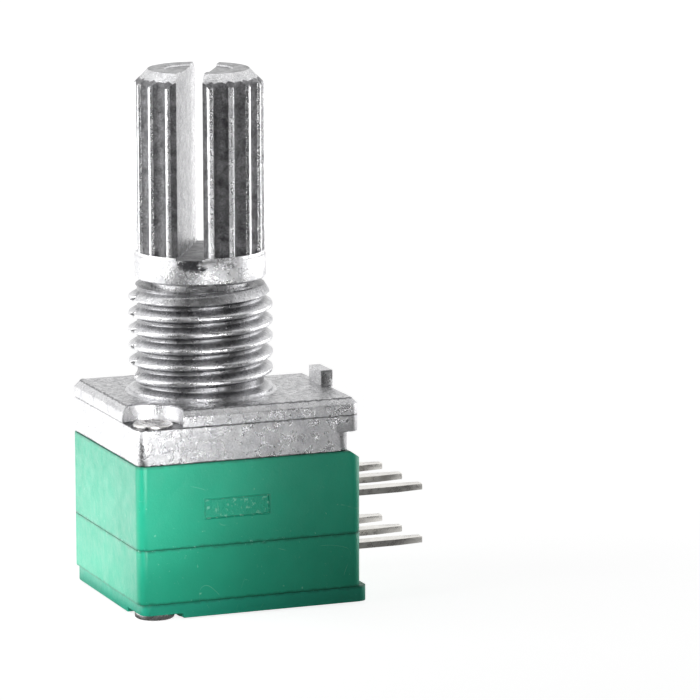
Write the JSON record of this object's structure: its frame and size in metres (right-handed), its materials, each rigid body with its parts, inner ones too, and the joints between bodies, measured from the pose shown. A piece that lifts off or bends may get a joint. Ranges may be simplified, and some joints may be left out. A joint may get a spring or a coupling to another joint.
{
  "type": "rotary potentiometer",
  "caption": "Two-gang panel potentiometer with a fluted split metal shaft, a threaded bushing, a moulded body and two rows of flat solder terminals.",
  "frame": {"origin": "on the shaft axis, in the plate's flat face that seats against the panel", "axes": "+Z along the shaft towards its tip, +X towards the terminals, +Y completes the right-handed frame"},
  "size_m": [0.0147, 0.0094, 0.0248],
  "materials": {
    "zinc_cast": "bright as-cast zinc, rougher on the sides of the plate",
    "zinc_shaft": "as-cast zinc with bright worn ridges",
    "spring_steel": "stamped spring steel",
    "green_moulding": "satin moulded plastic",
    "green_cover": "satin moulded plastic",
    "rivet_metal": "nickel-plated, lightly scuffed",
    "phenolic_board": "phenolic paper board with printed carbon",
    "tinned_metal": "soft tinned sheet metal",
    "rotor_moulding": "moulded acetal",
    "wiper_bronze": "stamped spring bronze"
  },
  "bodies": {
    "case": {"bushing_plate": "zinc_cast", "front_housing": "green_moulding", "rear_housing": "green_moulding", "rear_cover": "green_cover", "rivets": "rivet_metal", "front_wafer": "phenolic_board", "rear_wafer": "phenolic_board", "front_eyelets": "tinned_metal", "rear_eyelets": "tinned_metal", "front_terminal_1": "tinned_metal", "front_terminal_2": "tinned_metal", "front_terminal_3": "tinned_metal", "rear_terminal_1": "tinned_metal", "rear_terminal_2": "tinned_metal", "rear_terminal_3": "tinned_metal"},
    "shaft_assembly": {"shaft": "zinc_shaft", "retaining_ring": "spring_steel", "front_rotor": "rotor_moulding", "rear_rotor": "rotor_moulding", "front_wiper": "wiper_bronze", "rear_wiper": "wiper_bronze"}
  },
  "joints": [
    {"name": "shaft_turn", "type": "hinge", "parent": "case", "child": "shaft_assembly", "pos_m": [0, 0, 0], "axis": [0, 0, -1], "range_deg": [0, 300]}
  ]
}
